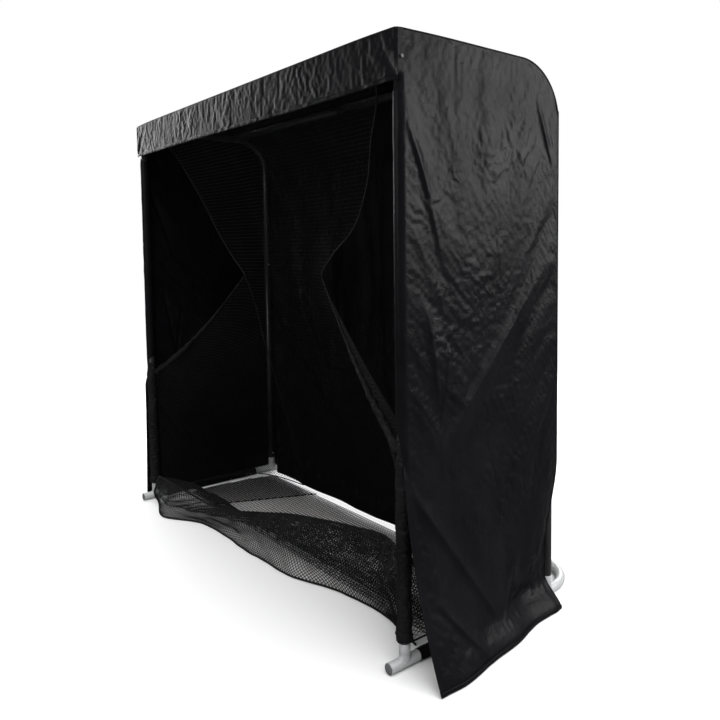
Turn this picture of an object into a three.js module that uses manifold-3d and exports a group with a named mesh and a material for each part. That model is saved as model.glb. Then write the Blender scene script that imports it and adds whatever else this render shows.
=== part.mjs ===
// A free-standing golf practice net: a push-together tube frame, an hourglass ball net
// with side nets and a loose front lip, and a fabric cover that lifts off the frame.
// Millimetres, +X right as the golfer faces the net, +Y to the back, +Z up.
import * as THREE from 'three';
import { mergeVertices } from 'three/addons/utils/BufferGeometryUtils.js';
import Module from 'manifold-3d';

const wasm = await Module();
wasm.setup();

// Driving dimensions
const OVERALL_HEIGHT = 2286; // floor to the top of the cover, 7 ft 6 in
const UPRIGHT_SPACING = 2370; // between the axes of the two front uprights
const POST_Y = 820; // axis of the rear posts, behind the front uprights
const REAR_BAR_Y = 1046; // axis of the base's rear bar
const TOE_Y = -76; // front end of the side rails
const TUBE_R = 21;
const TUBE_WALL = 2;
const TUBE_SIDES = 12;
const GAP = 0.3; // between pieces that touch
const FIT = 0.5; // between a spigot and the tube it slides into
const COVER_THICK = 3;
const NET_THICK = 4;

// Tube joints
const SPIGOT_LENGTH = 60;
const SWAGE_LENGTH = 8;
const STUB_TOP = 95; // top of the full-size part of a base stub
const UPRIGHT_JOINT_Z = 1180; // where the upper upright starts
const POST_JOINT_Z = 1400; // where the side arm's leg ends
const RAIL_JOINT_Y = 720; // where a side rail meets its rear corner
const BASE_BEND_R = 190;
const TOP_BEND_R = 200;
const CORNER_REACH = 60; // from the rear corner's bend to the bar's end
const FITTING_R = 24;
const FITTING_BORE_R = TUBE_R + GAP;
const FITTING_REACH = 85; // from the meeting point of a corner fitting to each mouth
const FITTING_SEAT = 28; // from the same point to the seated end of a tube
const TOP_BAR_STUB_Y = 590; // axis of the top rear bar
const TOP_BAR_STUB = 95; // length of the stub that takes the top rear bar

// Snap buttons
const BUTTON_R = 4.6;
const BUTTON_HOLE_R = 5;
const BUTTON_PROUD = 3;
const BUTTON_OFFSET = 32; // from the mouth of the outer tube
const LEAF = { length: 34, width: 7.4, thick: 1.2 };

// Net
const SLEEVE_BORE_R = 25;
const TOP_SLEEVE_R = 28.5;
const UPRIGHT_SLEEVE_R = 28;
const TOP_SLEEVE_HALF = 1040;
const UPRIGHT_SLEEVE = { low: 102, high: 800 };
const RAIL_SLEEVE = { front: 62, rear: 690, outer: 23, bore: TUBE_R + GAP };
const IMPACT_LOW_Z = 900; // where the impact net ends and the return net starts

// Cover
const VALANCE_DROP = 188;
const REAR_HEM_Z = 62;
const FLARE_START_Z = 1000;
const REAR_GAP = 6; // between the rear posts and the cover's back

const halfX = UPRIGHT_SPACING / 2;
const railZ = RAIL_SLEEVE.outer;
const coverGap = 1;
const topZ = OVERALL_HEIGHT - COVER_THICK - coverGap - TOP_SLEEVE_R;
const spigotR = TUBE_R - TUBE_WALL - FIT;
const spigotBoreR = spigotR - TUBE_WALL;
const SIDES = { l: -1, r: 1 };

const vec = (x, y, z) => new THREE.Vector3(x, y, z);
const finishes = {
  steel: { color: 0xb9bbbc, roughness: 0.45, metalness: 0.3 },
  cap: { color: 0x55585a, roughness: 0.6, metalness: 0 },
  black: { color: 0x1a1a1b, roughness: 0.5, metalness: 0.1 },
  button: { color: 0xd0d2d4, roughness: 0.3, metalness: 1 },
  net: { color: 0x141414, roughness: 0.9, metalness: 0 },
  sleeve: { color: 0x1b1b1c, roughness: 0.8, metalness: 0 },
  cover: { color: 0x232326, roughness: 0.55, metalness: 0 },
};

const model = new THREE.Group();

// Adds one named piece, at its place in the model.
function addPiece(name, geometry, finish, parent = model) {
  const mesh = new THREE.Mesh(geometry, new THREE.MeshStandardMaterial(finishes[finish]));
  mesh.name = name;
  parent.add(mesh);
  return mesh;
}

// Closed geometry to a solid and back.
function toSolid(geometry) {
  const bare = geometry.index ? geometry.toNonIndexed() : geometry.clone();
  bare.deleteAttribute('normal');
  bare.deleteAttribute('uv');
  const merged = mergeVertices(bare, 1e-3);
  return new wasm.Manifold(new wasm.Mesh({
    numProp: 3,
    vertProperties: merged.attributes.position.array,
    triVerts: Uint32Array.from(merged.index.array),
  }));
}

function toGeometry(solid) {
  const mesh = solid.getMesh();
  const geometry = new THREE.BufferGeometry();
  geometry.setAttribute('position', new THREE.BufferAttribute(mesh.vertProperties, 3));
  geometry.setIndex(new THREE.BufferAttribute(mesh.triVerts, 1));
  geometry.computeVertexNormals();
  return geometry;
}

// A frame whose +Y points along a direction, for geometry that is turned about Y.
function alongAxis(direction, origin) {
  const turn = new THREE.Quaternion().setFromUnitVectors(vec(0, 1, 0), direction.clone().normalize());
  return new THREE.Matrix4().compose(origin, turn, vec(1, 1, 1));
}

// Turned solid: a closed profile of [radius, height] pairs, from origin along a direction.
function turned(profile, origin, direction, sides = TUBE_SIDES) {
  const points = profile.map(([r, h]) => new THREE.Vector2(r, h));
  const geometry = new THREE.LatheGeometry(points, sides, Math.PI / sides);
  geometry.applyMatrix4(alongAxis(direction, origin));
  const solid = toSolid(geometry);
  return solid.volume() < 0 ? toSolid(flipped(geometry)) : solid;
}

// The same geometry with its faces turned over.
function flipped(geometry) {
  const loose = geometry.index ? geometry.toNonIndexed() : geometry;
  const p = loose.attributes.position;
  const out = new Float32Array(p.array.length);
  for (let i = 0; i < p.count; i += 3) {
    [0, 2, 1].forEach((from, to) => {
      out.set([p.getX(i + from), p.getY(i + from), p.getZ(i + from)], 3 * (i + to));
    });
  }
  const result = new THREE.BufferGeometry();
  result.setAttribute('position', new THREE.BufferAttribute(out, 3));
  return result;
}

const rod = (radius, from, to, sides = TUBE_SIDES) => {
  const span = to.clone().sub(from);
  const length = span.length();
  return turned([[0, 0], [radius, 0], [radius, length], [0, length]], from, span, sides);
};

// A straight tube from one point to another, with an optional swaged spigot past its far end.
function straightTube(from, to, spigot = false) {
  const span = to.clone().sub(from);
  const length = span.length();
  const bore = TUBE_R - TUBE_WALL;
  const outline = [[bore, 0], [TUBE_R, 0], [TUBE_R, length]];
  if (spigot) {
    outline.push([spigotR, length], [spigotR, length + SPIGOT_LENGTH]);
    outline.push([spigotBoreR, length + SPIGOT_LENGTH], [spigotBoreR, length]);
  }
  outline.push([bore, spigot ? length - SWAGE_LENGTH : length], outline[0]);
  return turned(outline, from, span);
}

// A path through corner points with a round bend at each inner corner.
class PipePath extends THREE.Curve {
  constructor(corners, radius, bendSteps) {
    super();
    this.places = [corners[0]];
    this.headings = [corners[1].clone().sub(corners[0]).normalize()];
    for (let i = 1; i < corners.length - 1; i += 1) {
      this.addBend(corners[i - 1], corners[i], corners[i + 1], radius, bendSteps);
    }
    this.places.push(corners.at(-1));
    this.headings.push(corners.at(-1).clone().sub(corners.at(-2)).normalize());
  }

  addBend(before, corner, after, radius, bendSteps) {
    const into = corner.clone().sub(before).normalize();
    const out = after.clone().sub(corner).normalize();
    const centre = corner.clone().addScaledVector(into, -radius).addScaledVector(out, radius);
    for (let k = 0; k <= bendSteps; k += 1) {
      const a = (k / bendSteps) * Math.PI / 2;
      const spoke = out.clone().multiplyScalar(-Math.cos(a)).addScaledVector(into, Math.sin(a));
      this.places.push(centre.clone().addScaledVector(spoke, radius));
      this.headings.push(into.clone().multiplyScalar(Math.cos(a)).addScaledVector(out, Math.sin(a)));
    }
  }

  getPointAt(t, target = new THREE.Vector3()) {
    return target.copy(this.places[Math.round(t * (this.places.length - 1))]);
  }

  getTangentAt(t, target = new THREE.Vector3()) {
    return target.copy(this.headings[Math.round(t * (this.headings.length - 1))]);
  }
}

function circle(radius) {
  const points = [];
  for (let i = 0; i < TUBE_SIDES; i += 1) {
    const a = (i + 0.5) * 2 * Math.PI / TUBE_SIDES;
    points.push(new THREE.Vector2(radius * Math.cos(a), radius * Math.sin(a)));
  }
  return points;
}

// A hollow tube round one bend.
function bentTube(corners, radius, bendSteps = 8) {
  const path = new PipePath(corners, radius, bendSteps);
  const section = new THREE.Shape(circle(TUBE_R));
  section.holes.push(new THREE.Path(circle(TUBE_R - TUBE_WALL)));
  const geometry = new THREE.ExtrudeGeometry(section, {
    steps: path.places.length - 1,
    extrudePath: path,
    bevelEnabled: false,
  });
  return toSolid(geometry);
}

// A welded stub with a flared weld at its foot and a spigot on top, standing on a rail.
function baseStub(x, y) {
  const foot = vec(x, y, railZ);
  const rise = STUB_TOP - railZ;
  const flare = 6;
  return turned([
    [0, 0], [TUBE_R + flare, 0], [TUBE_R + flare, TUBE_R - 4], [TUBE_R, TUBE_R + 14], [TUBE_R, rise],
    [spigotR, rise], [spigotR, rise + SPIGOT_LENGTH], [0, rise + SPIGOT_LENGTH],
  ], foot, vec(0, 0, 1));
}

const stubBore = (x, y) => rod(spigotBoreR, vec(x, y, railZ), vec(x, y, STUB_TOP + SPIGOT_LENGTH + 5));

// Every push joint: where its button sits on the tube's axis, which way the button points,
// which way the tube runs, and the outer radius there.
const joints = [];
function addJoint(name, centre, pointing, run, outerR = TUBE_R) {
  joints.push({ name, centre, pointing, run, outerR });
}
for (const [side, s] of Object.entries(SIDES)) {
  const x = s * halfX;
  const inward = vec(-s, 0, 0);
  const up = vec(0, 0, 1);
  const back = vec(0, 1, 0);
  addJoint(`upright_foot_${side}`, vec(x, 0, STUB_TOP + BUTTON_OFFSET), inward, up);
  addJoint(`upright_middle_${side}`, vec(x, 0, UPRIGHT_JOINT_Z + BUTTON_OFFSET), inward, up);
  addJoint(`post_foot_${side}`, vec(x, POST_Y, STUB_TOP + BUTTON_OFFSET), inward, up);
  addJoint(`post_middle_${side}`, vec(x, POST_Y, POST_JOINT_Z + BUTTON_OFFSET), inward, up);
  addJoint(`rail_${side}`, vec(x, RAIL_JOINT_Y + BUTTON_OFFSET, railZ), inward, back);
  const mouth = FITTING_REACH - BUTTON_OFFSET + 10;
  addJoint(`corner_down_${side}`, vec(x, 0, topZ - mouth), back, up, FITTING_R);
  addJoint(`corner_front_${side}`, vec(x - s * mouth, 0, topZ), back, inward, FITTING_R);
  addJoint(`corner_back_${side}`, vec(x, mouth, topZ), vec(0, 0, -1), back, FITTING_R);
  const stubEnd = x - s * TOP_BAR_STUB;
  addJoint(`top_rear_${side}`, vec(stubEnd + s * BUTTON_OFFSET, TOP_BAR_STUB_Y, topZ), vec(0, 0, -1), inward);
}
addJoint('front_bar', vec(BUTTON_OFFSET, 0, topZ), vec(0, 1, 0), vec(1, 0, 0));
addJoint('top_rear_bar', vec(BUTTON_OFFSET, TOP_BAR_STUB_Y, topZ), vec(0, 0, -1), vec(1, 0, 0));
addJoint('rear_bar', vec(BUTTON_OFFSET, REAR_BAR_Y, railZ), vec(0, 0, 1), vec(1, 0, 0));

// Drills the button holes of every joint that crosses a piece.
function drilled(solid) {
  const box = solid.boundingBox();
  const inside = (p) => ['x', 'y', 'z'].every((k, i) => p[k] > box.min[i] && p[k] < box.max[i]);
  const crossing = joints.filter((joint) => inside(joint.centre));
  return crossing.reduce((rest, joint) => {
    const far = joint.centre.clone().addScaledVector(joint.pointing, 2 * TUBE_R);
    return rest.subtract(rod(BUTTON_HOLE_R, joint.centre, far, 12));
  }, solid);
}

const addTube = (name, solid, finish) => addPiece(name, toGeometry(drilled(solid)), finish);

// Base: two side rails with the front stubs, two rear corners with the post stubs, a rear bar.
function addBase(side, s) {
  const x = s * halfX;
  const rail = straightTube(vec(x, TOE_Y, railZ), vec(x, RAIL_JOINT_Y, railZ), true);
  const railBore = rod(TUBE_R - TUBE_WALL, vec(x, TOE_Y - 5, railZ), vec(x, TUBE_R * 3, railZ));
  const stub = baseStub(x, 0).subtract(stubBore(x, 0)).subtract(railBore);
  const opening = stubBore(x, 0);
  addTube(`base_side_rail_${side}`, rail.subtract(opening).add(stub), 'steel');
  const barEnd = vec(x - s * (BASE_BEND_R + CORNER_REACH), REAR_BAR_Y, railZ);
  const bend = bentTube([vec(x, RAIL_JOINT_Y + GAP, railZ), vec(x, REAR_BAR_Y, railZ), barEnd], BASE_BEND_R);
  const cornerBore = rod(TUBE_R - TUBE_WALL, vec(x, RAIL_JOINT_Y - 5, railZ), vec(x, POST_Y + TUBE_R * 1.6, railZ));
  const postStub = baseStub(x, POST_Y).subtract(stubBore(x, POST_Y)).subtract(cornerBore);
  addTube(`base_rear_corner_${side}`, bend.subtract(stubBore(x, POST_Y)).add(postStub), 'steel');
  const start = vec(barEnd.x - s * GAP, REAR_BAR_Y, railZ);
  const middle = vec(s > 0 ? GAP : 0, REAR_BAR_Y, railZ);
  const bar = straightTube(middle, start, true);
  addTube(`base_rear_bar_${side}`, s > 0 ? bar : bar.add(centreSpigot(REAR_BAR_Y, railZ)), 'steel');
}

// The spigot on a left half bar that reaches into the right half.
function centreSpigot(y, z) {
  const weldR = TUBE_R - TUBE_WALL + GAP;
  return turned([
    [spigotBoreR, -SWAGE_LENGTH], [weldR, -SWAGE_LENGTH], [weldR, -GAP], [spigotR, 0],
    [spigotR, SPIGOT_LENGTH], [spigotBoreR, SPIGOT_LENGTH], [spigotBoreR, -SWAGE_LENGTH],
  ], vec(0, y, z), vec(1, 0, 0));
}

// A domed plug in the front end of a side rail.
function addEndCap(side, s) {
  const rim = vec(s * halfX, TOE_Y - GAP, railZ);
  const plugR = TUBE_R - TUBE_WALL - GAP;
  const cap = turned([
    [0, 6], [10, 5.5], [17, 3.6], [TUBE_R, 0.5], [TUBE_R, 0], [plugR, 0], [plugR, -24], [0, -24],
  ], rim, vec(0, -1, 0));
  addPiece(`rail_end_cap_${side}`, toGeometry(cap), 'cap');
}

function addUprights(side, s) {
  const x = s * halfX;
  const seat = topZ - FITTING_SEAT;
  const lower = straightTube(vec(x, 0, STUB_TOP + GAP), vec(x, 0, UPRIGHT_JOINT_Z), true);
  addTube(`upright_lower_${side}`, lower, 'black');
  const upper = straightTube(vec(x, 0, UPRIGHT_JOINT_Z + GAP), vec(x, 0, seat));
  addTube(`upright_upper_${side}`, upper, 'black');
  const post = straightTube(
    vec(x, POST_Y, STUB_TOP + GAP), vec(x, POST_Y, POST_JOINT_Z), true,
  );
  addTube(`rear_post_${side}`, post, 'black');
}

// Three sockets that meet at right angles, with the tubes' seats bored from each mouth.
function addCornerFitting(side, s) {
  const hub = vec(s * halfX, 0, topZ);
  const ways = [vec(0, 0, -1), vec(-s, 0, 0), vec(0, 1, 0)];
  const ball = toSolid(new THREE.SphereGeometry(FITTING_R, TUBE_SIDES, 10).translate(hub.x, hub.y, hub.z));
  const body = ways.reduce((sum, way) => {
    return sum.add(rod(FITTING_R, hub, hub.clone().addScaledVector(way, FITTING_REACH)));
  }, ball);
  const bored = ways.reduce((rest, way) => {
    const from = hub.clone().addScaledVector(way, FITTING_SEAT - GAP);
    return rest.subtract(rod(FITTING_BORE_R, from, hub.clone().addScaledVector(way, FITTING_REACH + 5)));
  }, body);
  addTube(`corner_fitting_${side}`, bored, 'black');
}

function addTopBars(side, s) {
  const seat = s * (halfX - FITTING_SEAT);
  const start = s > 0 ? GAP : 0;
  const front = straightTube(vec(start, 0, topZ), vec(seat, 0, topZ));
  addTube(`top_front_bar_${side}`, s > 0 ? front : front.add(centreSpigot(0, topZ)), 'black');
  const stubEnd = s * (halfX - TOP_BAR_STUB - GAP);
  const rear = straightTube(
    vec(start, TOP_BAR_STUB_Y, topZ), vec(stubEnd, TOP_BAR_STUB_Y, topZ), true,
  );
  addTube(`top_rear_bar_${side}`, s > 0 ? rear : rear.add(centreSpigot(TOP_BAR_STUB_Y, topZ)), 'black');
}

// A side arm runs back from the corner fitting and turns down to meet the rear post.
function addSideArm(side, s) {
  const x = s * halfX;
  const arm = bentTube([
    vec(x, FITTING_SEAT, topZ), vec(x, POST_Y, topZ), vec(x, POST_Y, POST_JOINT_Z + GAP),
  ], TOP_BEND_R);
  const armBore = rod(TUBE_R - TUBE_WALL, vec(x, TOP_BAR_STUB_Y - 40, topZ), vec(x, TOP_BAR_STUB_Y + 28, topZ));
  const stubEnd = vec(x - s * TOP_BAR_STUB, TOP_BAR_STUB_Y, topZ);
  const stubMouth = vec(stubEnd.x - s * 5, TOP_BAR_STUB_Y, topZ);
  const axisPoint = vec(x, TOP_BAR_STUB_Y, topZ);
  const stub = rod(TUBE_R - 0.2, axisPoint, stubEnd).subtract(rod(TUBE_R - TUBE_WALL, axisPoint, stubMouth));
  addTube(`side_arm_${side}`, arm.add(stub.subtract(armBore)), 'black');
}

// A sprung button: a domed pin on a flat leaf that lies inside the inner tube.
function addSnapButton({ name, centre, pointing, run, outerR }) {
  const inner = outerR === FITTING_R ? TUBE_R - TUBE_WALL : spigotBoreR;
  const leafTop = Math.sqrt(inner ** 2 - (LEAF.width / 2) ** 2) - 1.2;
  const tip = outerR + BUTTON_PROUD;
  const pin = turned([
    [0, leafTop - LEAF.thick / 2], [BUTTON_R, leafTop - LEAF.thick / 2], [BUTTON_R, tip - 1.6],
    [BUTTON_R * 0.75, tip - 0.5], [0, tip],
  ], centre, pointing, 10);
  const across = new THREE.Vector3().crossVectors(run, pointing);
  const turn = new THREE.Matrix4().makeBasis(run, pointing, across);
  const middle = centre.clone().addScaledVector(pointing, leafTop - LEAF.thick / 2);
  const leaf = new THREE.BoxGeometry(LEAF.length, LEAF.thick, LEAF.width);
  leaf.applyMatrix4(turn.setPosition(middle));
  addPiece(`snap_button_${name}`, toGeometry(pin.add(toSolid(leaf))), 'button');
}

// A hollow fabric sleeve round a straight tube.
function sleeve(from, to, outer, bore) {
  const reach = to.clone().sub(from).setLength(5);
  return rod(outer, from, to).subtract(rod(bore, from.clone().sub(reach), to.clone().add(reach)));
}

// Turns the diagonals on the back of a box to lie behind the ones on its front, so that a
// warped sheet keeps its thickness.
function matchDiagonals(geometry) {
  const { index, groups } = geometry;
  const back = groups[5];
  for (let i = back.start; i < back.start + back.count; i += 6) {
    const a = index.getX(i);
    const b = index.getX(i + 1);
    const c = index.getX(i + 4);
    const d = index.getX(i + 2);
    [a, b, c, a, c, d].forEach((corner, n) => index.setX(i + n, corner));
  }
}

// A closed sheet of even thickness over a surface place(u, v) with u and v from 0 to 1.
function sheet(place, columns, rows, thick) {
  const geometry = new THREE.BoxGeometry(1, 1, 1, columns, rows, 1);
  matchDiagonals(geometry);
  const p = geometry.attributes.position;
  const d = 1e-3;
  for (let i = 0; i < p.count; i += 1) {
    const u = p.getX(i) + 0.5;
    const v = p.getY(i) + 0.5;
    const du = place(Math.min(u + d, 1), v).sub(place(Math.max(u - d, 0), v));
    const dv = place(u, Math.min(v + d, 1)).sub(place(u, Math.max(v - d, 0)));
    const normal = du.cross(dv).normalize();
    const at = place(u, v).addScaledVector(normal, p.getZ(i) * thick);
    p.setXYZ(i, at.x, at.y, at.z);
  }
  const solid = toSolid(geometry);
  return toGeometry(solid.volume() < 0 ? toSolid(flipped(geometry)) : solid);
}

// The seam between the ball net and a side net: in from the top bar to a narrow waist, then
// back and out to the floor behind.
const seamCurve = new THREE.CatmullRomCurve3([
  vec(1030, 8, topZ - 36), vec(945, 90, 2085), vec(855, 132, 1950), vec(765, 180, 1790),
  vec(640, 205, 1620), vec(470, 200, 1490), vec(372, 218, 1390), vec(393, 292, 1220),
  vec(450, 378, 990), vec(535, 530, 640), vec(620, 680, 280), vec(670, 752, 40),
]);
const WAIST_T = 6 / 11;

// The seam's point at a height, found by halving.
function seamAt(z) {
  let low = 0;
  let high = 1;
  for (let i = 0; i < 40; i += 1) {
    const mid = (low + high) / 2;
    if (seamCurve.getPoint(mid).z > z) low = mid;
    else high = mid;
  }
  return seamCurve.getPoint(low);
}

// The ball net at a height, across from the left seam to the right one, bellied to the back.
function ballNet(u, z) {
  const edge = seamAt(z);
  const across = 2 * u - 1;
  const top = topZ - 36;
  const belly = 70 * Math.sin(Math.PI * THREE.MathUtils.clamp((top - z) / top, 0, 1)) * (1 - across ** 2);
  return vec(across * edge.x, edge.y + belly, z);
}

function addBallNet() {
  const seamGap = 3;
  const top = topZ - TOP_SLEEVE_R - seamGap;
  const impact = (u, v) => ballNet(u, THREE.MathUtils.lerp(IMPACT_LOW_Z + 1, top, v));
  addPiece('net_impact_panel', sheet(impact, 10, 16, NET_THICK), 'net');
  const back = (u, v) => ballNet(u, THREE.MathUtils.lerp(45, IMPACT_LOW_Z - 1, v));
  addPiece('net_return_panel', sheet(back, 10, 8, NET_THICK), 'net');
  const barSleeve = sleeve(
    vec(-TOP_SLEEVE_HALF, 0, topZ), vec(TOP_SLEEVE_HALF, 0, topZ), TOP_SLEEVE_R, SLEEVE_BORE_R,
  );
  addPiece('net_top_sleeve', toGeometry(barSleeve), 'sleeve');
}

// The bottom edge of a side net: back along the rail, then in to the foot of the seam.
const sideFoot = new THREE.CatmullRomCurve3([
  vec(1148, 34, 54), vec(1146, 330, 54), vec(1100, 600, 50), vec(930, 715, 44), vec(690, 760, 40),
]);

// A side net spans the upright sleeve, the seam and the rail, as a patch between four edges.
function addSideNet(side, s) {
  const high = vec(1148, 12, UPRIGHT_SLEEVE.high - 12);
  const waist = seamCurve.getPoint(WAIST_T);
  const topEdge = (u) => {
    const p = high.clone().lerp(waist, u);
    p.z -= 45 * Math.sin(Math.PI * u);
    return p;
  };
  const front = (v) => high.clone().lerp(sideFoot.getPoint(0), v);
  const rear = (v) => seamCurve.getPoint(THREE.MathUtils.lerp(WAIST_T, 1, v));
  const place = (u0, v) => {
    const u = u0 * 0.965;
    const p = topEdge(u).multiplyScalar(1 - v).addScaledVector(sideFoot.getPoint(u), v);
    p.addScaledVector(front(v), 1 - u).addScaledVector(rear(v), u);
    p.addScaledVector(topEdge(0), -(1 - u) * (1 - v)).addScaledVector(topEdge(1), -u * (1 - v));
    p.addScaledVector(sideFoot.getPoint(0), -(1 - u) * v).addScaledVector(sideFoot.getPoint(1), -u * v);
    return vec(s * p.x, p.y, p.z);
  };
  addPiece(`net_side_${side}`, sheet(place, 9, 9, NET_THICK), 'net');
  const x = s * halfX;
  const upright = sleeve(
    vec(x, 0, UPRIGHT_SLEEVE.low), vec(x, 0, UPRIGHT_SLEEVE.high), UPRIGHT_SLEEVE_R, SLEEVE_BORE_R,
  );
  addPiece(`net_upright_sleeve_${side}`, toGeometry(upright), 'sleeve');
  const rail = sleeve(
    vec(x, RAIL_SLEEVE.front, railZ), vec(x, RAIL_SLEEVE.rear, railZ), RAIL_SLEEVE.outer, RAIL_SLEEVE.bore,
  );
  addPiece(`net_rail_sleeve_${side}`, toGeometry(rail), 'sleeve');
}

// The floor net lies flat between the rails, and narrows to the foot of the ball net.
function addFloorNet() {
  const place = (u, v) => {
    const y = THREE.MathUtils.lerp(230, 735, v);
    const half = 1130 - 480 * Math.max(0, (y - 430) / 305) ** 2;
    return vec((2 * u - 1) * half, y, 1 + NET_THICK / 2);
  };
  addPiece('net_floor_panel', sheet(place, 8, 6, NET_THICK), 'net');
}

// The loose front lip: it lies on the floor and stands up higher towards the right.
const lipFoot = new THREE.CatmullRomCurve3([
  vec(-1080, -60, 6), vec(-830, -95, 6), vec(-560, 40, 6), vec(-210, 45, 6), vec(60, 45, 6),
  vec(320, 75, 6), vec(600, 150, 6), vec(850, 170, 6), vec(1110, 120, 6),
]);
const lipTop = new THREE.CatmullRomCurve3([
  vec(-1100, 20, 120), vec(-830, 60, 80), vec(-560, 150, 90), vec(-210, 190, 150), vec(60, 195, 200),
  vec(320, 200, 250), vec(600, 215, 290), vec(850, 190, 330), vec(1115, 60, 360),
]);
function addLip() {
  const place = (u, v) => {
    const low = lipFoot.getPoint(u);
    const p = low.clone().lerp(lipTop.getPoint(u), v);
    p.y -= 40 * Math.sin(Math.PI * v);
    return p;
  };
  addPiece('net_front_lip', sheet(place, 20, 4, NET_THICK * 2), 'net');
}

// The cover's own faces, clear of the frame and the net's sleeves.
const sideX = halfX + UPRIGHT_SLEEVE_R + coverGap + COVER_THICK / 2;
const frontY = -(TOP_SLEEVE_R + coverGap + COVER_THICK / 2);
const rearY = POST_Y + TUBE_R + REAR_GAP + COVER_THICK / 2;
const roofZ = OVERALL_HEIGHT - COVER_THICK / 2;
const roofBend = TOP_BEND_R + TUBE_R + REAR_GAP + COVER_THICK / 2;
const bendY = POST_Y - TOP_BEND_R;
const seam = 2.5; // clearance between two sewn faces of the cover

// The height of the cover's edge over a side panel, which follows the side arm.
function sideTop(y) {
  const past = THREE.MathUtils.clamp((y - bendY) / roofBend, 0, 1);
  return roofZ - seam - roofBend * (1 - Math.sqrt(1 - past ** 2));
}

function addRoof() {
  const flat = bendY - frontY;
  const arc = roofBend * Math.PI / 2;
  const share = flat / (flat + arc);
  const place = (u, v) => {
    const x = (2 * u - 1) * (sideX - seam);
    if (v <= share) return vec(x, frontY + (v / share) * flat, roofZ);
    const a = ((v - share) / (1 - share)) * Math.PI / 2;
    return vec(x, bendY + roofBend * Math.sin(a), roofZ - roofBend * (1 - Math.cos(a)));
  };
  addPiece('cover_roof', sheet(place, 6, 14, COVER_THICK), 'cover');
}

function addValance() {
  const high = roofZ - seam;
  const place = (u, v) => {
    const x = (2 * u - 1) * (sideX - seam);
    return vec(x, frontY, high - VALANCE_DROP * v);
  };
  addPiece('cover_valance', sheet(place, 8, 2, COVER_THICK), 'cover');
}

// A side panel hangs from the roof to the floor and flares out at its foot.
function addSidePanel(side, s, flare) {
  const place = (u, v) => {
    const y = THREE.MathUtils.lerp(frontY + seam, rearY - seam, u);
    const z = THREE.MathUtils.lerp(sideTop(Math.min(y, bendY + roofBend - 4)), 2, v);
    const fall = THREE.MathUtils.clamp((FLARE_START_Z - z) / FLARE_START_Z, 0, 1) ** 2.2;
    const out = THREE.MathUtils.lerp(flare.front, flare.rear, u) * fall;
    const back = flare.rearShift * u * fall;
    return vec(s * (sideX + out), y + back, z);
  };
  addPiece(`cover_side_${side}`, sheet(place, 8, 14, COVER_THICK), 'cover');
}

function addRearPanel() {
  const high = roofZ - roofBend - seam;
  const place = (u, v) => vec((2 * u - 1) * (sideX - 2 * seam), rearY, THREE.MathUtils.lerp(high, REAR_HEM_Z, v));
  addPiece('cover_rear', sheet(place, 6, 6, COVER_THICK), 'cover');
}

// A press stud that closes the front corner seam.
function addCoverSnap(side, s) {
  const from = vec(s * (sideX + COVER_THICK / 2 + GAP), frontY + 16, roofZ - 110);
  const stud = turned([[0, 0], [6, 0], [6, 1.6], [4.6, 2.6], [0, 2.9]], from, vec(s, 0, 0), 14);
  addPiece(`cover_snap_${side}`, toGeometry(stud), 'button');
}

const flares = {
  l: { front: 35, rear: 30, rearShift: -10 },
  r: { front: 205, rear: 95, rearShift: -80 },
};
for (const [side, s] of Object.entries(SIDES)) {
  addBase(side, s);
  addEndCap(side, s);
  addUprights(side, s);
  addCornerFitting(side, s);
  addTopBars(side, s);
  addSideArm(side, s);
  addSideNet(side, s);
  addSidePanel(side, s, flares[side]);
}
addCoverSnap('r', SIDES.r);
joints.forEach(addSnapButton);
addBallNet();
addFloorNet();
addLip();
addRoof();
addValance();
addRearPanel();

// The model's origin is on the floor under the middle of its outer box.
model.updateMatrixWorld(true);
const box = new THREE.Box3().setFromObject(model);
model.position.set(-(box.min.x + box.max.x) / 2, -(box.min.y + box.max.y) / 2, -box.min.z);

export default model;
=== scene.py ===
import math
import bpy
import numpy as np
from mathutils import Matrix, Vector, geometry, noise


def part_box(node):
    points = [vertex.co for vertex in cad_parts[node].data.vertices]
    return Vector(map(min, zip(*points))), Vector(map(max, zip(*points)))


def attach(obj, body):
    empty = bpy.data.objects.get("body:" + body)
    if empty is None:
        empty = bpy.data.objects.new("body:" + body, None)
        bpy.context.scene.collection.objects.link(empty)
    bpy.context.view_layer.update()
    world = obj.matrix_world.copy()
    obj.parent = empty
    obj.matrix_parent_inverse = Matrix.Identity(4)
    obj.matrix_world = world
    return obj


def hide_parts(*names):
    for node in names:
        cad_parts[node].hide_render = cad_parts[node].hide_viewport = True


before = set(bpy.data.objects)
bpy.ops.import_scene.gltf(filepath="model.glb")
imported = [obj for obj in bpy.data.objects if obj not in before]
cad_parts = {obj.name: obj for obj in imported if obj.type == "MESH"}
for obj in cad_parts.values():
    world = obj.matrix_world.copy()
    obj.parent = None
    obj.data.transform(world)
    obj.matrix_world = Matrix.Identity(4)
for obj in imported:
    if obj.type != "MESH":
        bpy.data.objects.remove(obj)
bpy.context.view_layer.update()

noise.seed_set(7)  # without it, noise_vector takes its offsets from the clock

# ---------------------------------------------------------------- places taken from the frame


def centre(node):
    low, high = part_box(node)
    return (Vector(low) + Vector(high)) / 2


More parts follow.
